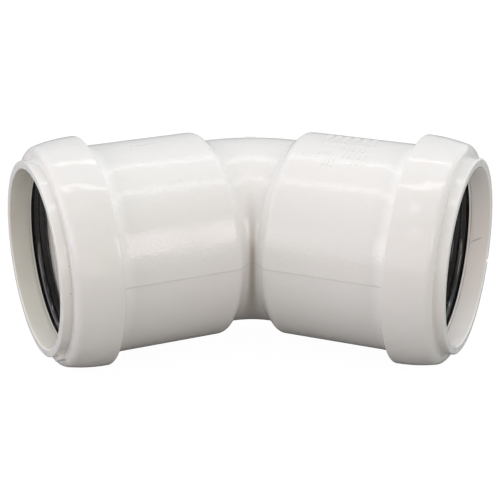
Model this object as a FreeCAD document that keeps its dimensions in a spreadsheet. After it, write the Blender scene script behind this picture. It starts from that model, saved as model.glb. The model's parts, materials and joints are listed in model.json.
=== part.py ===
import FreeCAD, Part
import math
import os
import Sketcher

# Push-fit waste pipe elbow for 41 mm pipe, turning the run through 45 degrees.
# The two socket axes lie in one horizontal plane and meet on the mirror plane X = 0.
# Lengths along a socket are measured from the point where the two axes meet.
# The finished elbow lies on its two caps, centred over the origin, with +Z up.

V = FreeCAD.Vector

SIZES = {
    # pipe and waterway
    "bore_radius": 20.75,         # guides a pipe of 41 mm outside diameter
    "waterway_radius": 19.7,
    "tube_radius": 22.28,         # outside of the bend tube
    "bend_centre_radius": 23.0,
    "leg_tilt": 22.5,             # degrees between a socket axis and the X axis
    # socket body
    "socket_radius": 24.7,
    "step_start": 10.4,           # foot of the rounded step from tube to socket
    "step_end": 13.0,
    "step_foot_fillet": 0.35,
    "step_top_fillet": 1.5,
    "stop_depth": 14.0,           # shoulder the pipe end rests against
    "bore_end": 45.1,
    "bore_lead": 0.6,
    "chamber_radius": 22.5,       # counterbore that holds the seal
    "socket_end": 50.6,
    "flare_start": 38.2,
    "flare_curve": 18.0,
    "flare_rise": 0.4,
    # seat under the cap, with its snap bead
    "seat_radius": 24.3,
    "bead_back": 45.0,
    "bead_crest": 45.4,
    "bead_front": 46.0,
    "bead_rise": 0.48,
    # flash along the mould's parting plane
    "flash_height": 0.06,
    "flash_width": 0.22,
    "flash_end": 39.4,
    # retaining cap
    "cap_rear": 41.75,
    "cap_radius": 27.35,
    "cap_curve": 38.0,            # the skirt is slightly barrelled towards the front
    "cap_front": 52.7,
    "cap_front_radius": 25.75,
    "cap_front_fillet": 2.2,
    "cap_rear_fillet": 0.35,
    "cap_clearance": 0.05,
    "cap_groove_rise": 0.55,
    "cap_groove_slack": 0.1,
    "mouth_end": 55.15,
    "mouth_outer": 23.2,
    "mouth_inner": 21.25,         # the mouth tapers from here to the step line
    "mouth_outer_fillet": 0.4,
    "mouth_inner_fillet": 0.3,
    "crease_fillet": 0.12,
    "step_line": 50.85,           # fine inner step where the spigot begins
    "step_line_radius": 20.92,
    "spigot_inner": 21.02,
    "spigot_outer": 22.4,
    "spigot_rear": 49.8,
    # gate lug left in the corner between mouth ring and skirt
    "lug_width": 4.2,
    "lug_overlap": 0.3,           # how far the lug reaches into the skirt
    "lug_inner": 22.6,
    "lug_outer": 24.25,
    "lug_front": 54.1,
    "nick_radius": 0.45,          # nick in the mouth rim in front of the lug
    "nick_centre": 55.2,
    "nick_depth": 1.5,
    # seal
    "seal_rear": 45.8,
    "seal_front": 49.7,
    "seal_outer": 22.42,
    "seal_inner": 20.95,
    "seal_lip_radius": 20.56,     # lip as pressed back by a pipe
    "seal_lip_tip": 46.6,
    "seal_lip_root": 48.4,
    "seal_edge": 0.5,             # bevel of the front edge
    "seal_back_gap": 0.65,        # room behind the lip
    # raised marks on the sockets
    "mark_root": 0.6,             # how deep the strokes are rooted in the wall
    # gate scar behind the crown of the bend
    "scar_length": 2.6,
    "scar_width": 1.8,
    "scar_height": 0.22,
}

LEFT = -1
RIGHT = 1
SIDE_NAMES = {LEFT: "left", RIGHT: "right"}

# Rows of plain raised strokes, which spell nothing. Each row gives the angle round the socket
# axis (degrees), where the first stroke starts along it, how many strokes there are, their
# pitch and width along the socket, their height round it, and how far they stand proud.
RIGHT_ROWS = (
    (91.5, 18.8, 6, 2.25, 1.15, 4.8, 0.22),
    (79.5, 24.6, 5, 1.25, 0.5, 1.5, 0.10),
    (73.5, 19.8, 3, 1.1, 0.5, 1.3, 0.10),
    (72.5, 25.6, 5, 1.25, 0.5, 1.5, 0.10),
    (66.0, 21.8, 3, 1.0, 0.45, 2.2, 0.09),
    (67.5, 28.2, 3, 1.25, 0.5, 1.3, 0.08),
)
LEFT_ROWS = (
    (88.3, 25.5, 1, 1.0, 5.4, 0.55, 0.14),
)
SCAR_ANGLE = 18.0     # degrees behind the crown of the bend tube

# Where each cap's gate lug ended up when the cap was pushed on, degrees round the axis, and the
# nick in the rim in front of it. Both caps come from one mould, turned about the axis.
LUG_ANGLES = {LEFT: -59.0, RIGHT: -160.0}
NICK_ANGLES = {LEFT: -62.0, RIGHT: -157.0}


class Term:
    """A length that carries both its number and its spreadsheet formula."""

    def __init__(self, number, formula):
        self.number = number
        self.formula = formula

    def __add__(self, other):
        other = as_term(other)
        return Term(self.number + other.number, "(%s + %s)" % (self.formula, other.formula))

    def __sub__(self, other):
        other = as_term(other)
        return Term(self.number - other.number, "(%s - %s)" % (self.formula, other.formula))

    def __mul__(self, other):
        other = as_term(other)
        return Term(self.number * other.number, "(%s * %s)" % (self.formula, other.formula))


def as_term(value):
    if isinstance(value, Term):
        return value
    return Term(float(value), repr(float(value)))


def size(alias):
    return Term(SIZES[alias], "sizes." + alias)


def make_sheet(doc):
    sheet = doc.addObject("Spreadsheet::Sheet", "sizes")
    for row, alias in enumerate(SIZES, start=1):
        sheet.set("A%d" % row, alias)
        sheet.set("B%d" % row, repr(SIZES[alias]))
        sheet.setAlias("B%d" % row, alias)
    doc.recompute()
    return sheet


def origin_feature(body, role):
    for feature in body.Origin.OriginFeatures:
        if feature.Role == role:
            return feature
    raise RuntimeError("no origin feature " + role)


def leg_axis(side):
    """Unit vector out of the mouth on one side."""
    tilt = math.radians(SIZES["leg_tilt"])
    return V(side * math.cos(tilt), -math.sin(tilt), 0)


def leg_inner_normal(side):
    """Unit vector from the socket axis towards the inside of the bend."""
    tilt = math.radians(SIZES["leg_tilt"])
    return V(-side * math.sin(tilt), -math.cos(tilt), 0)


def radial(side, angle):
    """Unit vector away from the socket axis, angle counted from the inside of the bend to +Z."""
    turn = math.radians(angle)
    inner = leg_inner_normal(side)
    return inner * math.cos(turn) + V(0, 0, 1) * math.sin(turn)


def placement_from(x_axis, normal, base):
    y_axis = normal.cross(x_axis)
    matrix = FreeCAD.Matrix(
        x_axis.x, y_axis.x, normal.x, base.x,
        x_axis.y, y_axis.y, normal.y, base.y,
        x_axis.z, y_axis.z, normal.z, base.z,
        0, 0, 0, 1)
    return FreeCAD.Placement(matrix)


def add_sketch(body, name, placement=None):
    """A sketch on the body's XY plane, moved to the given placement."""
    sketch = body.newObject("Sketcher::SketchObject", name)
    sketch.AttachmentSupport = [(origin_feature(body, "XY_Plane"), "")]
    sketch.MapMode = "FlatFace"
    if placement is not None:
        sketch.AttachmentOffset = placement
    return sketch


def leg_sketch(body, name, side):
    """A sketch whose X axis runs out along the socket axis, lying in the bend plane."""
    normal = V(0, 0, 1)
    return add_sketch(body, name, placement_from(leg_axis(side), normal, V(0, 0, 0)))


def bind(sketch, index, formula):
    sketch.setExpression("Constraints[%d]" % index, formula)


def place_vertex(sketch, geometry, point, x_term, y_term):
    """Drive one vertex by two signed distances from the sketch origin."""
    for kind, axis, term in (("DistanceX", -2, x_term), ("DistanceY", -1, y_term)):
        if abs(term.number) < 1e-9:
            sketch.addConstraint(Sketcher.Constraint("PointOnObject", geometry, point, axis))
            continue
        constraint = Sketcher.Constraint(kind, -1, 1, geometry, point, term.number)
        bind(sketch, sketch.addConstraint(constraint), term.formula)


def arc_between(start, end, radius):
    """Anticlockwise arc between two points; a positive radius bulges left of start to end."""
    chord = end - start
    half = chord.Length / 2.0
    reach = math.sqrt(radius * radius - half * half)
    left = V(-chord.y, chord.x, 0).normalize()
    centre = (start + end) * 0.5 - left * math.copysign(reach, radius)
    if radius > 0:
        first, last = end - centre, start - centre
    else:
        first, last = start - centre, end - centre
    first_turn = math.atan2(first.y, first.x)
    last_turn = math.atan2(last.y, last.x)
    if last_turn < first_turn:
        last_turn += 2.0 * math.pi
    circle = Part.Circle(centre, V(0, 0, 1), abs(radius))
    return Part.ArcOfCircle(circle, first_turn, last_turn)


def draw_profile(sketch, corners):
    """Closed outline through corners (x, y, radius of the arc to the next corner or None)."""
    points = [V(x.number, y.number, 0) for x, y, _ in corners]
    count = len(corners)
    for index in range(count):
        start = points[index]
        end = points[(index + 1) % count]
        radius = corners[index][2]
        if radius is None:
            sketch.addGeometry(Part.LineSegment(start, end), False)
        else:
            sketch.addGeometry(arc_between(start, end, radius.number), False)
    ends = [outline_ends(sketch, index, points[index]) for index in range(count)]
    for index in range(count):
        following = (index + 1) % count
        sketch.addConstraint(Sketcher.Constraint(
            "Coincident", index, ends[index][1], following, ends[following][0]))
    for index, (x_term, y_term, radius) in enumerate(corners):
        place_vertex(sketch, index, ends[index][0], x_term, y_term)
        if radius is not None:
            length = Term(abs(radius.number), "abs(%s)" % radius.formula)
            constraint = Sketcher.Constraint("Radius", index, length.number)
            bind(sketch, sketch.addConstraint(constraint), length.formula)


def outline_ends(sketch, index, start):
    """Which end of a piece of outline is its start: an arc may be stored the other way round."""
    first = sketch.Geometry[index].StartPoint
    if first.distanceToPoint(start) < 1e-6:
        return (1, 2)
    return (2, 1)


def revolve(body, kind, name, sketch, angle=360.0, axis="H_Axis", midplane=False):
    feature = body.newObject(kind, name)
    feature.Profile = sketch
    feature.ReferenceAxis = (sketch, [axis])
    feature.Angle = angle
    feature.Midplane = midplane
    body.Document.recompute()
    body.Tip = feature
    return feature


def pad(body, name, sketch, length, midplane=False, reversed_side=False):
    feature = body.newObject("PartDesign::Pad", name)
    feature.Profile = sketch
    feature.setExpression("Length", length.formula)
    feature.Midplane = midplane
    feature.Reversed = reversed_side
    body.Document.recompute()
    body.Tip = feature
    return feature


def circle_edges(shape, side, station, radius):
    """Edges that lie on the circle of this radius round the socket axis at this station."""
    axis = leg_axis(side)
    found = []
    for index, edge in enumerate(shape.Edges, start=1):
        middle = edge.valueAt((edge.FirstParameter + edge.LastParameter) / 2.0)
        along = middle.dot(axis)
        away = (middle - axis * along).Length
        curved = hasattr(edge.Curve, "Radius")
        if curved and abs(along - station) < 0.02 and abs(away - radius) < 0.02:
            found.append("Edge%d" % index)
    return found


def fillet(body, name, side, station, radius, size_term):
    base = body.Tip
    edges = circle_edges(base.Shape, side, station, radius)
    if not edges:
        raise RuntimeError("no edge for " + name)
    feature = body.newObject("PartDesign::Fillet", name)
    feature.Base = (base, edges)
    feature.setExpression("Radius", size_term.formula)
    body.Document.recompute()
    body.Tip = feature
    return feature


def rectangle(sketch, left, bottom, right, top):
    corners = (
        (left, bottom, None),
        (right, bottom, None),
        (right, top, None),
        (left, top, None),
    )
    draw_profile(sketch, corners)


# ---------------------------------------------------------------- bend body

def bend_torus(body, kind, name, radius):
    """A 45 degree piece of ring, swept about the vertical line through the bend centre."""
    tilt = math.radians(SIZES["leg_tilt"])
    centre_y = -SIZES["bend_centre_radius"] / math.cos(tilt)
    base = V(0, centre_y, 0)
    sketch = add_sketch(body, name + "_section", placement_from(V(0, 1, 0), V(1, 0, 0), base))
    sketch.addGeometry(Part.Circle(V(SIZES["bend_centre_radius"], 0, 0), V(0, 0, 1), radius.number))
    sketch.addConstraint(Sketcher.Constraint("PointOnObject", 0, 3, -1))
    offset = size("bend_centre_radius")
    constraint = Sketcher.Constraint("DistanceX", -1, 1, 0, 3, offset.number)
    bind(sketch, sketch.addConstraint(constraint), offset.formula)
    constraint = Sketcher.Constraint("Radius", 0, radius.number)
    bind(sketch, sketch.addConstraint(constraint), radius.formula)
    turn = 2.0 * SIZES["leg_tilt"]
    feature = revolve(body, kind, name, sketch, turn, "V_Axis", True)
    feature.setExpression("Angle", "2 * sizes.leg_tilt")
    body.Document.recompute()
    return feature


def tangent_station():
    """Station along a leg where the bend tube ends and the straight socket begins."""
    tilt = math.radians(SIZES["leg_tilt"])
    number = SIZES["bend_centre_radius"] * math.tan(tilt)
    return Term(number, "(sizes.bend_centre_radius * tan(sizes.leg_tilt))")


def socket_outside(body, side):
    zero = as_term(0)
    start = tangent_station()
    seat = size("seat_radius")
    crest = seat + size("bead_rise")
    flare_top = size("socket_radius") + size("flare_rise")
    corners = (
        (start, zero, None),
        (start, size("tube_radius"), None),
        (size("step_start"), size("tube_radius"), None),
        (size("step_end"), size("socket_radius"), None),
        (size("flare_start"), size("socket_radius"), Term(-SIZES["flare_curve"], "sizes.flare_curve")),
        (size("cap_rear"), flare_top, None),
        (size("cap_rear"), seat, None),
        (size("bead_back"), seat, None),
        (size("bead_back"), crest, None),
        (size("bead_crest"), crest, None),
        (size("bead_front"), seat, None),
        (size("socket_end"), seat, None),
        (size("socket_end"), zero, None),
    )
    name = "socket_" + SIDE_NAMES[side]
    sketch = leg_sketch(body, name + "_profile", side)
    draw_profile(sketch, corners)
    revolve(body, "PartDesign::Revolution", name, sketch)


def socket_inside(body, side):
    zero = as_term(0)
    beyond = size("socket_end") + size("bore_lead")
    corners = (
        (tangent_station(), zero, None),
        (tangent_station(), size("waterway_radius"), None),
        (size("stop_depth"), size("waterway_radius"), None),
        (size("stop_depth"), size("bore_radius"), None),
        (size("bore_end"), size("bore_radius"), None),
        (size("bore_end") + size("bore_lead"), size("bore_radius") + size("bore_lead"), None),
        (size("bore_end") + size("bore_lead"), size("chamber_radius"), None),
        (beyond, size("chamber_radius"), None),
        (beyond, zero, None),
    )
    name = "bore_" + SIDE_NAMES[side]
    sketch = leg_sketch(body, name + "_profile", side)
    draw_profile(sketch, corners)
    revolve(body, "PartDesign::Groove", name, sketch)


def socket_flash(body, side):
    """Thin line of flash along both generators of the socket that lie in the parting plane."""
    rise = size("flash_height")
    outer = size("socket_radius") + rise
    inner = size("tube_radius") + rise
    half_inner = inner * -1.0
    half_outer = outer * -1.0
    corners = (
        (tangent_station(), half_inner, None),
        (size("step_start"), half_inner, None),
        (size("step_end"), half_outer, None),
        (size("flash_end"), half_outer, None),
        (size("flash_end"), outer, None),
        (size("step_end"), outer, None),
        (size("step_start"), inner, None),
        (tangent_station(), inner, None),
    )
    name = "flash_" + SIDE_NAMES[side]
    sketch = leg_sketch(body, name + "_outline", side)
    draw_profile(sketch, corners)
    pad(body, name, sketch, size("flash_width"), midplane=True)


def bend_flash(body):
    """The same flash round the outside and the inside of the bend tube."""
    tilt = math.radians(SIZES["leg_tilt"])
    centre_y = -SIZES["bend_centre_radius"] / math.cos(tilt)
    section = add_sketch(body, "flash_bend_section",
                         placement_from(V(0, 1, 0), V(1, 0, 0), V(0, centre_y, 0)))
    middle = size("bend_centre_radius")
    reach = size("tube_radius") + size("flash_height")
    inner = middle - reach
    outer = middle + reach
    half = size("flash_width") * 0.5
    rectangle(section, inner, half * -1.0, outer, half)
    turn = 2.0 * SIZES["leg_tilt"]
    feature = revolve(body, "PartDesign::Revolution", "flash_bend", section, turn, "V_Axis", True)
    feature.setExpression("Angle", "2 * sizes.leg_tilt")
    body.Document.recompute()


def stroke_row(body, name, side, row):
    """One row of short raised strokes, spaced along the socket at one angle round it."""
    angle, start, count, pitch, width, height, rise = row
    outward = radial(side, angle)
    top = SIZES["socket_radius"] + rise
    sketch = add_sketch(body, name + "_stroke",
                        placement_from(leg_axis(side), outward, outward * top))
    half = as_term(height / 2.0)
    left = as_term(start)
    rectangle(sketch, left, half * -1.0, left + width, half)
    stroke = pad(body, name + "_first", sketch, size("mark_root") + rise,
                 reversed_side=True)
    if count == 1:
        return
    pattern = body.newObject("PartDesign::LinearPattern", name)
    pattern.Originals = [stroke]
    pattern.Direction = (sketch, ["H_Axis"])
    pattern.Occurrences = count
    pattern.Length = (count - 1) * pitch
    body.Document.recompute()
    body.Tip = pattern


def gate_scar(body):
    """Low pad left by the sprue, a little behind the crown of the bend."""
    tilt = math.radians(SIZES["leg_tilt"])
    lean = math.radians(SCAR_ANGLE)
    crown_y = SIZES["bend_centre_radius"] * (1.0 - 1.0 / math.cos(tilt))
    outward = V(0, math.sin(lean), math.cos(lean))
    top = V(0, crown_y, 0) + outward * (SIZES["tube_radius"] + SIZES["scar_height"])
    sketch = add_sketch(body, "gate_scar_outline", placement_from(V(1, 0, 0), outward, top))
    half_length = size("scar_length") * 0.5
    half_width = size("scar_width") * 0.5
    rectangle(sketch, half_length * -1.0, half_width * -1.0, half_length, half_width)
    pad(body, "gate_scar", sketch, size("scar_height") + size("mark_root"), reversed_side=True)


def build_bend_body(doc):
    body = doc.addObject("PartDesign::Body", "bend_body")
    bend_torus(body, "PartDesign::Revolution", "bend_tube", size("tube_radius"))
    for side in (LEFT, RIGHT):
        socket_outside(body, side)
    for side in (LEFT, RIGHT):
        name = SIDE_NAMES[side]
        fillet(body, "step_foot_" + name, side, SIZES["step_start"], SIZES["tube_radius"],
               size("step_foot_fillet"))
        fillet(body, "step_top_" + name, side, SIZES["step_end"], SIZES["socket_radius"],
               size("step_top_fillet"))
    bend_flash(body)
    for side in (LEFT, RIGHT):
        socket_flash(body, side)
    gate_scar(body)
    for index, row in enumerate(RIGHT_ROWS, start=1):
        stroke_row(body, "right_marks_%d" % index, RIGHT, row)
    for index, row in enumerate(LEFT_ROWS, start=1):
        stroke_row(body, "left_marks_%d" % index, LEFT, row)
    bend_torus(body, "PartDesign::Groove", "waterway", size("waterway_radius"))
    for side in (LEFT, RIGHT):
        socket_inside(body, side)
    return body


# ---------------------------------------------------------------- retaining caps

def cap_ring(body, side):
    skirt_inner = size("seat_radius") + size("cap_clearance")
    groove = skirt_inner + size("cap_groove_rise")
    slack = size("cap_groove_slack")
    corners = (
        (size("cap_rear"), skirt_inner, None),
        (size("cap_rear"), size("cap_radius"), size("cap_curve")),
        (size("cap_front"), size("cap_front_radius"), None),
        (size("cap_front"), size("mouth_outer"), None),
        (size("mouth_end"), size("mouth_outer"), None),
        (size("mouth_end"), size("mouth_inner"), None),
        (size("step_line"), size("step_line_radius"), None),
        (size("step_line"), size("spigot_inner"), None),
        (size("spigot_rear"), size("spigot_inner"), None),
        (size("spigot_rear"), size("spigot_outer"), None),
        (size("socket_end"), size("spigot_outer"), None),
        (size("socket_end"), skirt_inner, None),
        (size("bead_front") + slack, skirt_inner, None),
        (size("bead_front") + slack, groove, None),
        (size("bead_back") - slack, groove, None),
        (size("bead_back") - slack, skirt_inner, None),
    )
    sketch = leg_sketch(body, "cap_profile", side)
    draw_profile(sketch, corners)
    revolve(body, "PartDesign::Revolution", "cap_ring", sketch)


def cap_lug(body, side):
    """Block left by the gate, bridging the corner between skirt and mouth ring."""
    outward = radial(side, LUG_ANGLES[side])
    top = outward * SIZES["lug_outer"]
    sketch = add_sketch(body, "lug_outline", placement_from(leg_axis(side), outward, top))
    half = size("lug_width") * 0.5
    rear = size("cap_front") - size("lug_overlap")
    rectangle(sketch, rear, half * -1.0, size("lug_front"), half)
    pad(body, "gate_lug", sketch, size("lug_outer") - size("lug_inner"), reversed_side=True)


def gate_nick(body, side):
    """Small round-bottomed nick in the mouth rim."""
    outward = radial(side, NICK_ANGLES[side])
    top = outward * SIZES["mouth_outer"]
    sketch = add_sketch(body, "nick_outline", placement_from(leg_axis(side), outward, top))
    centre = V(SIZES["nick_centre"], 0, 0)
    sketch.addGeometry(Part.Circle(centre, V(0, 0, 1), SIZES["nick_radius"]), False)
    sketch.addConstraint(Sketcher.Constraint("PointOnObject", 0, 3, -1))
    offset = size("nick_centre")
    constraint = Sketcher.Constraint("DistanceX", -1, 1, 0, 3, offset.number)
    bind(sketch, sketch.addConstraint(constraint), offset.formula)
    constraint = Sketcher.Constraint("Radius", 0, SIZES["nick_radius"])
    bind(sketch, sketch.addConstraint(constraint), "sizes.nick_radius")
    pocket = body.newObject("PartDesign::Pocket", "rim_nick")
    pocket.Profile = sketch
    pocket.setExpression("Length", "sizes.nick_depth")
    body.Document.recompute()
    body.Tip = pocket


def build_cap(doc, side):
    name = SIDE_NAMES[side]
    body = doc.addObject("PartDesign::Body", "retaining_cap_" + name)
    cap_ring(body, side)
    fillet(body, "skirt_front_round", side, SIZES["cap_front"], SIZES["cap_front_radius"],
           size("cap_front_fillet"))
    fillet(body, "skirt_rear_round", side, SIZES["cap_rear"], SIZES["cap_radius"],
           size("cap_rear_fillet"))
    fillet(body, "rim_outer_round", side, SIZES["mouth_end"], SIZES["mouth_outer"],
           size("mouth_outer_fillet"))
    fillet(body, "rim_inner_round", side, SIZES["mouth_end"], SIZES["mouth_inner"],
           size("mouth_inner_fillet"))
    fillet(body, "crease_round", side, SIZES["cap_front"], SIZES["mouth_outer"],
           size("crease_fillet"))
    cap_lug(body, side)
    gate_nick(body, side)
    return body


# ---------------------------------------------------------------- seals

def build_seal(doc, side):
    """Rubber ring with a seat in the socket's counterbore and a thin lip pointing inwards."""
    body = doc.addObject("PartDesign::Body", "seal_ring_" + SIDE_NAMES[side])
    edge = size("seal_edge")
    lip = size("seal_lip_radius")
    corners = (
        (size("seal_rear"), size("seal_outer"), None),
        (size("seal_front"), size("seal_outer"), None),
        (size("seal_front"), size("seal_inner") + edge, None),
        (size("seal_front") - edge, size("seal_inner"), None),
        (size("seal_lip_root"), size("seal_inner") - 0.1, None),
        (size("seal_lip_tip"), lip, None),
        (size("seal_lip_tip") - 0.4, lip + 0.05, None),
        (size("seal_lip_tip"), lip + size("seal_back_gap"), None),
        (size("seal_rear"), size("seal_inner") + edge, None),
    )
    sketch = leg_sketch(body, "seal_profile", side)
    draw_profile(sketch, corners)
    revolve(body, "PartDesign::Revolution", "seal_lip_ring", sketch)
    return body


# ---------------------------------------------------------------- assembly and output

def check(bodies):
    for body in bodies:
        for item in [body] + list(body.Group):
            if "Invalid" in item.State or "Error" in item.State:
                raise RuntimeError("%s of %s: %s" % (item.Label, body.Label, item.State))
        shape = body.Shape
        if shape.isNull() or not shape.isValid() or len(shape.Solids) != 1:
            raise RuntimeError("bad shape in " + body.Label)
        print(body.Label, "solids", len(shape.Solids), "volume %.1f" % shape.Volume,
              "faces", len(shape.Faces))


def lay_down(doc, bodies):
    """Move the whole elbow so that it lies on its caps, centred over the origin."""
    box = FreeCAD.BoundBox()
    for body in bodies:
        box.add(body.Shape.optimalBoundingBox(False, False))
    shift = V(0, -(box.YMin + box.YMax) / 2.0, -box.ZMin)
    for body in bodies:
        body.Placement = FreeCAD.Placement(shift, FreeCAD.Rotation())
    doc.recompute()
    print("box", box)
    print("socket axes meet at", shift)


def main():
    doc = FreeCAD.newDocument("push_fit_elbow")
    make_sheet(doc)
    bodies = [build_bend_body(doc)]
    for side in (LEFT, RIGHT):
        bodies.append(build_cap(doc, side))
    for side in (LEFT, RIGHT):
        bodies.append(build_seal(doc, side))
    doc.recompute()
    lay_down(doc, bodies)
    check(bodies)
    os.makedirs("parts", exist_ok=True)
    for body in bodies:
        body.Shape.exportStep("parts/%s.step" % body.Label)


main()
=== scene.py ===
import json
import math
import random

import bpy
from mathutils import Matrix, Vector


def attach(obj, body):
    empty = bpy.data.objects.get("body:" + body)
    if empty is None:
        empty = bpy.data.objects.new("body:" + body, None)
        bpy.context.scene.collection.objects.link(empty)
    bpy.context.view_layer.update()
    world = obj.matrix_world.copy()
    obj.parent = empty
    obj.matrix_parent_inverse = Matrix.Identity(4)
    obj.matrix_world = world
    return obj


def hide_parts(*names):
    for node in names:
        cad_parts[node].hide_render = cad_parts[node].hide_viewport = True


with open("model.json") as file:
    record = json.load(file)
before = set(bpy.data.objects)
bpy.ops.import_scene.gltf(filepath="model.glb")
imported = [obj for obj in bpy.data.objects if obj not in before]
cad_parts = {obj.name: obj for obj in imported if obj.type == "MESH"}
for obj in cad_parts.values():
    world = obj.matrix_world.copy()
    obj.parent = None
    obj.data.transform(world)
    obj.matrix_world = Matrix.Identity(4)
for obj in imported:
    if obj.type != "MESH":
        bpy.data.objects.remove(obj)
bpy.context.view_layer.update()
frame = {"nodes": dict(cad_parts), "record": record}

MM = 0.001
TILT = math.radians(22.5)      # each socket axis against the X axis
SIDES = {"left": -1, "right": 1}


# ------------------------------------------------------------------ where things are

def mount(name):
    """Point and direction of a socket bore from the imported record."""
    for entry in frame["record"]["mounts"]:
        if entry["name"] == name:
            return Vector(entry["pos_m"]), Vector(entry["axis"]).normalized()
    raise RuntimeError("no mount " + name)


def axes_meet():
    """Point where the two socket axes cross."""
    point, axis = mount("socket_right")
    return point - axis * (point.x / axis.x)


MEET = axes_meet()


def leg_axis(side):
    return mount("socket_" + side)[1]


def leg_inner(side):
    """Unit vector from a socket axis towards the inside of the bend."""
    sign = SIDES[side]
    return Vector((-sign * math.sin(TILT), -math.cos(TILT), 0))


# Radii and stations below are in mm. A station is measured along a socket axis from the point
# where the two axes meet, a radius from that axis, and an angle round it: 0 on the inside of the
# bend, 90 degrees on top.
PARTING_HALF = 0.12 * MM       # half width of the parting line
BORE_STATION = 12.0            # past here the cores leave no parting line in the bore
TUBE_RADIUS = 22.28
TUBE_SKIN = 21.0               # the crease's painted shade stays outside this radius of the bend tube
TUBE_SHIFT = 1.9               # the bend tube's centre is this far in front of the axes' meeting
CREASE_UNIT = 5.0 * MM
# Painted highlight: a paler band on each socket where it flares out beside its cap.
FLARE_START = 38.0
FLARE_FULL = 41.0
FLARE_HIGHLIGHT_SHARE = 0.65
RIM_INNER = 21.3               # the mouth wall lies inside this radius
RIM_OUTER = 21.7               # and the rim's face outside this one
STEP_LINE = 50.85              # fine inner step where the spigot meets the mouth ring
SPIGOT_RADIUS = 21.02
MOUTH_RADIUS = 20.92           # at the step line, opening from there to the rim
MOUTH_TAPER = 0.0767
MARK_SOFTNESS = 6.0            # a mark fades out at the square root of this times its width

WHITE = (0.86, 0.852, 0.832)
# Dark colour for real dirt, specks and marks, and also for painted shade in the crease, on the mouth
# wall and at the seal's seat.
GRIME_AND_SHADE = (0.30, 0.27, 0.23)
# Colour of the painted highlight on the flares.
FLARE_HIGHLIGHT = (0.97, 0.962, 0.945)
# Mouth wall colour of each cap: painted light and shade, a warm tint and a brightness of its own for
# each side.
WALL_LIGHT_AND_SHADE = {"left": (0.935, 0.92, 0.85), "right": (0.985, 0.965, 0.93)}
RUBBER_DUST = (0.16, 0.15, 0.14)
# Pale grey for scuffs on the seals and for one painted highlight streak on the right seal.
RUBBER_SCUFF_AND_SHEEN = (0.45, 0.44, 0.43)

# Noise patterns: how fine they are (per metre), how many octaves, and how rough.
SLOW_TINT = (38.0, 2.0)
CLOUD = (140.0, 4.0, 0.6)
SPARSE = (95.0, 1.0)
SPECK_CELLS = 420.0
BROKEN_DIRT = (150.0, 2.0)
COARSE_SKIN = (2300.0, 2.0, 0.6)
GRAIN = (3600.0, 2.0)
RUBBER_CLOUD = (260.0, 4.0, 0.6)
RUBBER_FLECKS = (1900.0, 3.0, 0.7)
RUBBER_WAVE = (240.0, 2.0)
RUBBER_GRAIN = (2400.0, 2.0)
PAPER_FIBRE = (400.0, 4.0)

# Bump depths in metres.
COARSE_DEPTH = 0.00005
GRAIN_DEPTH = 0.000004
RUBBER_WAVE_DEPTH = 0.00003
RUBBER_GRAIN_DEPTH = 0.00001


def on_leg(side, station, radius, angle):
    """Point at a station (mm) along a socket axis, at a radius (mm) and an angle round it."""
    out = leg_inner(side) * math.cos(angle) + Vector((0, 0, 1)) * math.sin(angle)
    return MEET + (leg_axis(side) * station + out * radius) * MM


# ------------------------------------------------------------------ material helpers

class Nodes:
    """Builds nodes in a node tree by short calls."""

    def __init__(self, tree):
        self.tree = tree

    def feed(self, target, value):
        """Links an input to another node's output, or sets it; None leaves it as it is."""
        if hasattr(value, "is_output"):
            self.tree.links.new(value, target)
        elif value is not None:
            target.default_value = value

    def node(self, kind, inputs, **settings):
        """A new node, with its settings, and its inputs fed by name or by number."""
        node = self.tree.nodes.new("ShaderNode" + kind)
        for name, value in settings.items():
            setattr(node, name, value)
        for key, value in inputs.items():
            self.feed(node.inputs[key], value)
        return node

    def math(self, operation, first, second=None, third=None):
        inputs = {0: first, 1: second, 2: third}
        return self.node("Math", inputs, operation=operation).outputs[0]

    def vector(self, operation, first, second=None):
        """Vector Math: a number for a distance, length or dot product, otherwise a vector."""
        node = self.node("VectorMath", {0: first, 1: second}, operation=operation)
        gives_number = operation in ("DISTANCE", "LENGTH", "DOT_PRODUCT")
        return node.outputs["Value" if gives_number else "Vector"]


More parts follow.
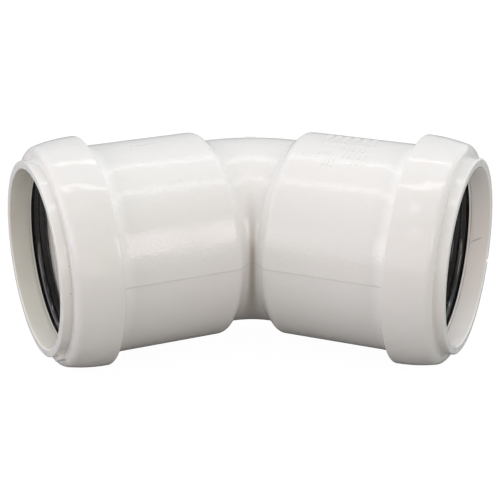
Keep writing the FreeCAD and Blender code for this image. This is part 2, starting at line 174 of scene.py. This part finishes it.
class Material(Nodes):
    """A material's node tree round one Principled shader, with the patterns it is made of."""

    def __init__(self, name):
        self.material = bpy.data.materials.new(name)
        self.material.use_nodes = True
        super().__init__(self.material.node_tree)
        self.tree.nodes.clear()
        self.shader = self.node("BsdfPrincipled", {})
        self.node("OutputMaterial", {"Surface": self.shader.outputs[0]})
        self.coords = self.node("TexCoord", {}).outputs["Object"]

    def set(self, **values):
        """Feeds the shader's own inputs, with _ for each space in their names."""
        for name, value in values.items():
            self.feed(self.shader.inputs[name.replace("_", " ")], value)

    def noise(self, scale, detail=2.0, roughness=0.5):
        inputs = {"Vector": self.coords, "Scale": scale, "Detail": detail, "Roughness": roughness}
        return self.node("TexNoise", inputs).outputs[0]

    def voronoi(self, scale):
        inputs = {"Vector": self.coords, "Scale": scale}
        return self.node("TexVoronoi", inputs).outputs["Distance"]

    def ramp(self, value, stops):
        """Numbers between (position, level) stops."""
        node = self.node("ValToRGB", {0: value})
        elements = node.color_ramp.elements
        while len(elements) < len(stops):
            elements.new(0.5)
        for element, (position, level) in zip(elements, stops):
            element.position = position
            element.color = (level, level, level, 1.0)
        return node.outputs[0]

    def mix_color(self, factor, first, second):
        first, second = ((*c, 1.0) if isinstance(c, tuple) else c for c in (first, second))
        inputs = {0: factor, 6: first, 7: second}
        return self.node("Mix", inputs, data_type="RGBA").outputs[2]

    def map_range(self, value, low, high, start=0.0, end=1.0, kind="LINEAR"):
        """Low up to the start, high past the end, and a slope between them."""
        inputs = {"Value": value, "From Min": start, "From Max": end, "To Min": low, "To Max": high}
        return self.node("MapRange", inputs, interpolation_type=kind).outputs[0]

    def bump(self, height, distance, strength=1.0, normal=None):
        inputs = {"Height": height, "Distance": distance, "Strength": strength, "Normal": normal}
        return self.node("Bump", inputs).outputs[0]

    def split(self, vector):
        return self.node("SeparateXYZ", {0: vector}).outputs

    def distance(self, point):
        return self.vector("DISTANCE", self.coords, point)

    def from_meet(self):
        """Offset from the point where the socket axes cross."""
        return self.vector("SUBTRACT", self.coords, MEET)

    def station(self, side):
        """Distance along a socket axis from the point where the axes cross."""
        return self.vector("DOT_PRODUCT", self.from_meet(), leg_axis(side))

    def inside_of(self, side):
        """1 on surfaces nearer to a socket axis than the mouth rim, 0 outside."""
        away = self.vector("LENGTH", self.vector("CROSS_PRODUCT", self.from_meet(), leg_axis(side)))
        return self.map_range(away, 1.0, 0.0, RIM_INNER * MM, RIM_OUTER * MM)

    def mark(self, first, last, width, strength):
        """Strength inside a thin spindle between two points, 0 outside it."""
        length = (last - first).length
        total = self.math("ADD", self.distance(first), self.distance(last))
        near = math.sqrt(length ** 2 + width ** 2)
        far = math.sqrt(length ** 2 + MARK_SOFTNESS * width ** 2)
        return self.map_range(total, strength, 0.0, near, far)

    def fading(self, distance, reach, strength):
        """Strength at distance 0, fading smoothly over the reach."""
        near = self.math("DIVIDE", distance, reach)
        fade = self.math("EXPONENT", self.math("MULTIPLY", self.math("MULTIPLY", near, near), -1.0))
        return self.math("MULTIPLY", fade, strength)

    def haze(self, point, reach, strength):
        """Soft round cloud about a point."""
        return self.fading(self.distance(point), reach, strength)

    def crease(self):
        """Painted shade in the sharp inner crease of the bend: a narrow dark streak, wider towards
        the bottom.
        """
        x, y, z = self.split(self.from_meet())
        height = self.map_range(z, 0.0, 1.0, -TUBE_RADIUS * MM, TUBE_RADIUS * MM)
        reach = self.math("MULTIPLY", self.ramp(height, CREASE_REACH), CREASE_UNIT)
        strength = self.ramp(height, CREASE_STRENGTH)
        across = self.math("ADD", y, TUBE_SHIFT * MM)
        squares = self.math("ADD", self.math("MULTIPLY", across, across), self.math("MULTIPLY", z, z))
        outside = self.math("GREATER_THAN", squares, (TUBE_SKIN * MM) ** 2)
        front = self.math("LESS_THAN", across, 0.0)
        streak = self.fading(x, reach, strength)
        return self.math("MULTIPLY", streak, self.math("MULTIPLY", outside, front))

    def parting_line(self, field):
        """Thin grey line in the mould's parting plane, uneven, and absent inside the sockets."""
        height = self.split(self.coords)["Z"]
        off = self.math("ABSOLUTE", self.math("SUBTRACT", height, MEET.z))
        line = self.map_range(off, 1.0, 0.0, PARTING_HALF, PARTING_HALF * 2.0)
        line = self.math("MULTIPLY", line, self.map_range(field, 0.2, 1.0))
        for side in SIDES:
            deep = self.math("GREATER_THAN", self.station(side), BORE_STATION * MM)
            bore = self.math("MULTIPLY", self.inside_of(side), deep)
            line = self.math("MULTIPLY", line, self.math("SUBTRACT", 1.0, bore))
        return line

    def flare(self, side):
        """Mask of a painted highlight: 0 along the socket, rising smoothly where it flares out beside
        the cap.
        """
        return self.map_range(self.station(side), 0.0, FLARE_HIGHLIGHT_SHARE, FLARE_START * MM,
                              FLARE_FULL * MM, "SMOOTHSTEP")

    def seat_shade_line(self, side, station, half_width, strength):
        """Thin dark line of painted shade at a fine step, broken up, round a socket at one station
        (mm).
        """
        off = self.math("ABSOLUTE", self.math("SUBTRACT", self.station(side), station * MM))
        line = self.map_range(off, strength, 0.0, half_width * MM, half_width * 2.0 * MM)
        broken = self.ramp(self.noise(*BROKEN_DIRT), ((0.35, 0.35), (0.6, 1.0)))
        return self.math("MULTIPLY", line, broken)


def darker(color, *shares):
    """A colour times one share for all three channels, or one for each."""
    return tuple(c * k for c, k in zip(color, shares if len(shares) == 3 else shares * 3))


def white_plastic(name, wave, peel, rough, glow=0.0, marks=(), parting=False, wall=None,
                  shade_hazes=(), coarse=None, flares=False):
    """Glossy moulded plastic: slow ripples, orange peel, uneven gloss, dust, specks and marks, and
    where asked painted light and shade.

    wave, peel: (scale, depth) of the ripples and of the orange peel.
    rough: least and greatest roughness.
    marks: (first point, last point, width, strength) of small dark spots and scratches.
    wall: the side whose mouth wall has its own colour of painted light and shade, and its own painted
    shade line.
    hazes: (point, reach, strength) of soft clouds of painted shade, on the mouth wall if there is
    one.
    coarse: the same for one area of coarser orange peel.
    flares: a painted highlight, a paler band where each socket flares out to meet its cap.
    """
    n = Material(name)
    slow = n.noise(*SLOW_TINT)
    cloud = n.noise(*CLOUD)
    shade = n.mix_color(slow, darker(WHITE, 0.985), WHITE)
    warm = darker(WHITE, 0.99, 0.975, 0.95)
    shade = n.mix_color(n.ramp(cloud, ((0.5, 0.0), (0.82, 0.4))), shade, warm)
    specks = n.ramp(n.voronoi(SPECK_CELLS), ((0.0, 1.0), (0.035, 0.0)))
    sparse = n.ramp(n.noise(*SPARSE), ((0.6, 0.0), (0.66, 0.55)))
    shade = n.mix_color(n.math("MULTIPLY", specks, sparse), shade, GRIME_AND_SHADE)
    # Painted highlight on each socket's flare beside its cap.
    if flares:
        for side in SIDES:
            shade = n.mix_color(n.flare(side), shade, FLARE_HIGHLIGHT)
    if parting:
        shade = n.mix_color(n.parting_line(cloud), shade, darker(WHITE, 0.80))
        # Painted shade: a dark streak in the bend's inner crease.
        shade = n.mix_color(n.crease(), shade, GRIME_AND_SHADE)
    # On a mouth wall the colour is painted light and shade, with painted shade clouds and a painted
    # shade line over it.
    dust_and_shade = shade if wall is None else WALL_LIGHT_AND_SHADE[wall]
    # Painted shade clouds.
    for point, reach, strength in shade_hazes:
        dust_and_shade = n.mix_color(n.haze(point, reach, strength), dust_and_shade, GRIME_AND_SHADE)
    if wall is not None:
        # Painted shade line where the seal sits.
        dust_and_shade = n.mix_color(n.seat_shade_line(wall, *SEAT_SHADE_LINE[wall]), dust_and_shade, GRIME_AND_SHADE)
        dust_and_shade = n.mix_color(n.inside_of(wall), shade, dust_and_shade)
    shade = dust_and_shade
    for first, last, width, strength in marks:
        shade = n.mix_color(n.mark(first, last, width, strength), shade, GRIME_AND_SHADE)
    ripple = n.bump(n.noise(wave[0], 1.0), wave[1])
    skin = n.bump(n.noise(peel[0], 1.5, 0.45), peel[1], 1.0, ripple)
    if coarse is not None:
        skin = n.bump(n.noise(*COARSE_SKIN), COARSE_DEPTH, n.haze(*coarse), skin)
    grain = n.bump(n.noise(*GRAIN), GRAIN_DEPTH, 0.35, skin)
    n.set(Base_Color=shade, Roughness=n.map_range(cloud, *rough), Normal=grain, IOR=1.49,
          Subsurface_Weight=glow, Subsurface_Radius=(1.0, 0.85, 0.65), Subsurface_Scale=0.001)
    return n.material


def seal_rubber(name):
    """Black rubber with a lubricant sheen, a little dust, a few scuffs and one painted highlight
    streak.
    """
    n = Material(name)
    cloud = n.noise(*RUBBER_CLOUD)
    base = n.mix_color(cloud, (0.003, 0.003, 0.0035), (0.008, 0.007, 0.008))
    dust = n.ramp(n.noise(*RUBBER_FLECKS), ((0.68, 0.0), (0.8, 0.2)))
    base = n.mix_color(dust, base, RUBBER_DUST)
    for first, last, width, strength in SEAL_MARKS:
        base = n.mix_color(n.mark(first, last, width, strength), base, RUBBER_SCUFF_AND_SHEEN)
    wave = n.bump(n.noise(*RUBBER_WAVE), RUBBER_WAVE_DEPTH)
    grain = n.bump(n.noise(*RUBBER_GRAIN), RUBBER_GRAIN_DEPTH, 0.5, wave)
    n.set(Base_Color=base, Roughness=n.map_range(cloud, 0.07, 0.14), Normal=grain, IOR=1.68)
    return n.material


def paper(name, level, glow):
    """Matt paper of one grey level, which may glow by itself."""
    n = Material(name)
    fibre = n.noise(*PAPER_FIBRE)
    grey = n.mix_color(fibre, (level * 0.98,) * 3, (level,) * 3)
    n.set(Base_Color=grey, Roughness=n.map_range(fibre, 0.8, 0.9), Specular_IOR_Level=0.0,
          Emission_Color=(1.0, 1.0, 1.0, 1.0), Emission_Strength=glow)
    return n.material


# ------------------------------------------------------------------ seals

def new_mesh(name, vertices, faces, smooth=True):
    mesh = bpy.data.meshes.new(name)
    mesh.from_pydata(vertices, [], faces)
    mesh.validate()
    mesh.update()
    for polygon in mesh.polygons:
        polygon.use_smooth = smooth
    piece = bpy.data.objects.new(name, mesh)
    bpy.context.collection.objects.link(piece)
    return piece


# Section of the rubber ring, station (mm) and radius (mm), going round it once: seat, rounded
# front, nearly straight throat, round-tipped lip that reaches back, relief groove behind it.
SEAL_SECTION = (
    (45.85, 22.42), (47.6, 22.42), (49.45, 22.42), (49.56, 22.32), (49.56, 22.1),
    (49.50, 21.90), (49.36, 21.58), (49.17, 21.21), (48.97, 20.94), (48.82, 20.77),
    (48.66, 20.64), (48.46, 20.54), (48.22, 20.48), (47.95, 20.44), (47.6, 20.41),
    (47.2, 20.38), (46.8, 20.37), (46.52, 20.41), (46.30, 20.52), (46.17, 20.72),
    (46.17, 20.92), (46.32, 21.08), (46.6, 21.16), (46.9, 21.22), (47.1, 21.34),
    (47.1, 21.50), (46.9, 21.60), (46.5, 21.62), (46.1, 21.68), (45.85, 21.88),
)
SEAL_STEPS = 288
LIP_WAVE = 0.05                # how far the lip waves in and out, in mm
WAVE_START = 21.3              # the wave grows from this radius inwards,
WAVE_REACH = 1.2               # over this distance


def seal(side, seed):
    """Detailed lip seal, its lip slightly wavy, in place of the plain ring."""
    rng = random.Random(seed)
    phases = [(k, rng.uniform(0, 2 * math.pi), rng.uniform(0.3, 1.0)) for k in (2, 3, 5, 9)]
    vertices = []
    faces = []
    count = len(SEAL_SECTION)
    for step in range(SEAL_STEPS):
        angle = 2 * math.pi * step / SEAL_STEPS
        wave = sum(a * math.sin(k * angle + p) for k, p, a in phases) / len(phases)
        for station, radius in SEAL_SECTION:
            inward = max(0.0, min(1.0, (WAVE_START - radius) / WAVE_REACH))
            shift = LIP_WAVE * wave * inward
            vertices.append(on_leg(side, station + shift, radius + shift, angle))
    for step in range(SEAL_STEPS):
        following = (step + 1) % SEAL_STEPS
        for k in range(count):
            nxt = (k + 1) % count
            quad = (step * count + k, step * count + nxt,
                    following * count + nxt, following * count + k)
            faces.append(quad if SIDES[side] > 0 else quad[::-1])
    piece = new_mesh("lip_seal_" + side, vertices, faces)
    smooth = piece.modifiers.new("round_edges", "SUBSURF")
    smooth.levels = 1
    smooth.render_levels = 1
    piece.data.materials.append(RUBBER)
    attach(piece, "root")
    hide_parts("seal_ring_" + side)


# ------------------------------------------------------------------ finish of the CAD nodes

def assign(node, material):
    for slot in frame["nodes"][node].material_slots:
        slot.material = material


# Painted shade line at the fine step where each seal sits: station, half width and strength.
SEAT_SHADE_LINE = {"left": (50.32, 0.07, 0.4), "right": (50.36, 0.07, 0.6)}


def leg_mark(side, first, last, width, strength):
    """A mark between two (station, radius, angle in degrees) points on one leg."""
    ends = [on_leg(side, s, r, math.radians(a)) for s, r, a in (first, last)]
    return ends[0], ends[1], width * MM, strength


def wall_radius(station):
    """Radius (mm) of the mouth wall: plain spigot up to the inner step, then a slight taper."""
    if station < STEP_LINE:
        return SPIGOT_RADIUS
    return MOUTH_RADIUS + MOUTH_TAPER * (station - STEP_LINE)


def wall_mark(side, first, last, width, strength):
    """A mark between two (station, angle in degrees) points on the mouth wall."""
    ends = [(s, wall_radius(s), a) for s, a in (first, last)]
    return leg_mark(side, ends[0], ends[1], width, strength)


BODY_MARKS = (
    leg_mark("left", (23.72, 24.7, 53.3), (23.72, 24.7, 53.6), 0.16, 0.45),
    leg_mark("right", (16.5, 24.7, 70.4), (16.5, 24.7, 70.7), 0.16, 0.45),
)
# Crease's painted shade against height, 0 at the bottom of the tube and 1 at its top: how dark it is,
# and how far it reaches to each side, in CREASE_UNIT.
CREASE_STRENGTH = ((0.0, 0.0), (0.05, 0.22), (0.16, 0.45), (0.25, 0.62), (0.32, 0.72),
                   (0.545, 0.70), (0.636, 0.42), (0.76, 0.18), (0.86, 0.0))
CREASE_REACH = ((0.0, 0.9), (0.16, 0.58), (0.25, 0.34), (0.36, 0.20), (0.50, 0.16),
                (0.636, 0.16), (0.76, 0.26))
COARSE_PEEL = (on_leg("left", 24.0, 24.7, math.radians(21)), 9.0 * MM, 1.0)
# Painted shade: soft dark clouds on the left mouth wall, mostly on its upper side.
MOUTH_SHADE_HAZE = tuple((on_leg("left", 51.5, 21.0, math.radians(angle)), 8.0 * MM, strength)
                   for angle, strength in ((115, 0.16), (145, 0.16), (175, 0.13), (-155, 0.06)))
LEFT_CAP_MARKS = (
    leg_mark("left", (52.8, 23.2, 16.0), (53.1, 23.2, 16.0), 0.10, 0.6),
    leg_mark("left", (52.8, 23.2, 0.5), (53.3, 23.2, 0.5), 0.10, 0.6),
)
LEFT_CAP_MARKS += tuple(
    wall_mark("left", (station, angle), (station + 0.1, angle + 0.5), width, 0.45)
    for station, angle, width in ((50.3, 178, 0.12), (50.4, 171, 0.09), (50.2, 164, 0.11),
                                  (50.5, 157, 0.08), (50.3, 150, 0.10), (54.2, 172, 0.12),
                                  (53.9, 161, 0.10), (54.4, 181, 0.09), (52.3, 167, 0.07))
)
RIGHT_CAP_MARKS = (
    leg_mark("right", (51.4, 26.1, 12.1), (51.5, 26.1, 12.4), 0.12, 0.4),
    leg_mark("right", (52.75, 23.2, -66.9), (52.85, 23.2, -66.5), 0.15, 0.6),
    wall_mark("right", (50.6, -167.5), (53.3, -171.7), 0.22, 0.4),
)
SEAL_MARKS = (
    leg_mark("right", (46.95, 20.4, 176.5), (47.05, 20.4, 177.0), 0.10, 0.7),
    leg_mark("right", (46.6, 20.4, -153.5), (46.7, 20.4, -154.0), 0.10, 0.7),
    leg_mark("right", (47.9, 20.4, -121.5), (48.0, 20.4, -122.0), 0.10, 0.7),
    # Painted highlight: a pale streak along the right seal's bead.
    leg_mark("right", (48.5, 20.6, -166.5), (48.6, 20.6, -160.5), 0.12, 0.35),
)
CAP_WAVE = (190.0, 0.00022)
CAP_PEEL = (1100.0, 0.000008)
CAP_ROUGH = (0.07, 0.11)
CAP_GLOW = 0.15
BODY = white_plastic("moulded_body_plastic", (120.0, 0.00012), (1300.0, 0.00005), (0.08, 0.13),
                     marks=BODY_MARKS, parting=True, coarse=COARSE_PEEL, flares=True)
LEFT_CAP = white_plastic("moulded_cap_plastic_left", CAP_WAVE, CAP_PEEL, CAP_ROUGH, CAP_GLOW,
                         LEFT_CAP_MARKS, wall="left", shade_hazes=MOUTH_SHADE_HAZE)
RIGHT_CAP = white_plastic("moulded_cap_plastic_right", CAP_WAVE, CAP_PEEL, CAP_ROUGH, CAP_GLOW,
                          RIGHT_CAP_MARKS, wall="right")
RUBBER = seal_rubber("black_seal_rubber")

assign("bend_body", BODY)
assign("retaining_cap_left", LEFT_CAP)
assign("retaining_cap_right", RIGHT_CAP)
seal("left", 11)
seal("right", 23)


# ------------------------------------------------------------------ floor, lights, camera

SHEET_HALF = 3.0
BOUNCE_DROP = 0.0004           # the bounce sheet lies this far under the floor
FLOOR_LEVEL = 0.08
FLOOR_GLOW = 0.97
BOUNCE_LEVEL = 0.41


def sheet(name, height, material):
    corners = [(x * SHEET_HALF, y * SHEET_HALF, height)
               for x, y in ((-1, -1), (1, -1), (1, 1), (-1, 1))]
    piece = new_mesh(name, corners, [(0, 1, 2, 3)], False)
    piece.data.materials.append(material)
    return piece


def add_floor():
    """A seen backdrop, blown out to white, over a paper sheet that bounces light upwards."""
    seen = sheet("floor", 0.0, paper("floor_paper", FLOOR_LEVEL, FLOOR_GLOW))
    seen.visible_diffuse = False
    seen.visible_glossy = False
    bounce = sheet("bounce_sheet", -BOUNCE_DROP, paper("bounce_paper", BOUNCE_LEVEL, 0.0))
    bounce.visible_camera = False


def area_light(name, location, width, height, radiance):
    """Rectangular lamp aimed at the elbow; radiance is its (r, g, b) brightness."""
    peak = max(radiance)
    data = bpy.data.lights.new(name, "AREA")
    data.shape = "RECTANGLE"
    data.size = width
    data.size_y = height
    data.energy = peak * math.pi * width * height
    data.color = [c / peak for c in radiance]
    lamp = bpy.data.objects.new(name, data)
    bpy.context.collection.objects.link(lamp)
    lamp.location = location
    lamp.rotation_euler = (CENTRE - location).to_track_quat("-Z", "Y").to_euler()


def direction(azimuth, elevation):
    """Unit vector towards a light; azimuth 0 is the camera side, positive to the right."""
    az = math.radians(azimuth)
    el = math.radians(elevation)
    return Vector((math.sin(az) * math.cos(el), -math.cos(az) * math.cos(el), math.sin(el)))


# Soft light dome: where each lobe comes from (azimuth, elevation) and its (r, g, b) brightness.
# The colours began as a program's fit to the photograph's shading and were rounded.
LOBE_NARROWNESS = 6.0
DOME_LOBES = (
    (0, 5, (1.2, 0.9, 0.8)),
    (45, 5, (0.7, 0.75, 0.6)),
    (90, 5, (0.3, 0.5, 0.5)),
    (135, 5, (1.05, 1.0, 1.0)),
    (180, 5, (0.2, 0.2, 0.2)),
    (-135, 5, (0.2, 0.3, 0.3)),
    (-90, 5, (2.6, 2.3, 2.5)),
    (-45, 5, (0.5, 0.7, 0.7)),
    (120, 62, (1.2, 1.2, 1.3)),
    (-120, 62, (0.35, 0.4, 0.35)),
)

CENTRE = Vector((0, 0, 0.027))
SOFTBOX_DISTANCE = 1.1
# Name, place from the centre, width, height and (r, g, b) brightness.
LAMPS = (
    ("tube_overhead", Vector((0, -0.055, 1.0)), 1.9, 0.075, (2.95, 2.95, 2.95)),
    ("tube_behind", Vector((0, 0.51, 0.92)), 1.9, 0.075, (2.60, 2.60, 2.60)),
    ("window_right", direction(42, 19.5) * SOFTBOX_DISTANCE, 0.27, 0.41, (3.25, 2.75, 3.15)),
    ("patch_high", direction(-17, 63.5) * SOFTBOX_DISTANCE, 0.20, 0.11, (1.60, 1.60, 1.60)),
    ("patch_low", direction(-14, 37) * SOFTBOX_DISTANCE, 0.22, 0.14, (1.20, 1.20, 1.20)),
    ("window_left", direction(-50, 16) * SOFTBOX_DISTANCE, 0.28, 0.34, (1.80, 1.80, 1.80)),
)


def add_lights():
    """Two long tubes, a window-shaped softbox on each side and two patches, for the highlights."""
    for name, offset, width, height, radiance in LAMPS:
        area_light(name, CENTRE + offset, width, height, radiance)


def add_world():
    """Studio dome: a sum of soft lobes, each exp(k (cos a - 1)) times its colour."""
    world = bpy.data.worlds.new("studio_dome")
    world.use_nodes = True
    n = Nodes(world.node_tree)
    coords = n.node("TexCoord", {}).outputs["Generated"]
    total = None
    for azimuth, elevation, color in DOME_LOBES:
        dot = n.vector("DOT_PRODUCT", coords, direction(azimuth, elevation))
        lobe = n.math("EXPONENT", n.math("MULTIPLY_ADD", dot, LOBE_NARROWNESS, -LOBE_NARROWNESS))
        tinted = n.node("VectorMath", {0: color, "Scale": lobe}, operation="SCALE").outputs[0]
        total = tinted if total is None else n.vector("ADD", total, tinted)
    background = n.tree.nodes["Background"]
    n.feed(background.inputs["Color"], total)
    n.feed(background.inputs["Strength"], 1.0)
    bpy.context.scene.world = world


# The camera's place, direction and lens are a fit to the object's outline in the photograph.
CAMERA_PLACE = Vector((-5.107, -337.801, 130.196)) * MM    # from where the socket axes meet
CAMERA_TURN = 0.842            # degrees to the right of straight ahead
CAMERA_DIP = 22.026            # degrees below level
CAMERA_LENS = 105.53
CAMERA_SENSOR = 36.0


def add_camera():
    """Camera of the catalogue view: low three-quarter from the inside of the bend."""
    data = bpy.data.cameras.new("catalogue_camera")
    data.sensor_width = CAMERA_SENSOR
    data.lens = CAMERA_LENS
    data.clip_start = 0.01
    data.clip_end = 20.0
    data.dof.use_dof = False
    camera = bpy.data.objects.new("catalogue_camera", data)
    bpy.context.collection.objects.link(camera)
    camera.location = MEET + CAMERA_PLACE
    camera.rotation_euler = (math.radians(90 - CAMERA_DIP), 0, math.radians(-CAMERA_TURN))
    bpy.context.scene.camera = camera


add_floor()
add_lights()
add_world()
add_camera()
view = bpy.context.scene.view_settings
view.view_transform = "Standard"
view.look = "None"
view.exposure = 0.0
view.gamma = 1.0
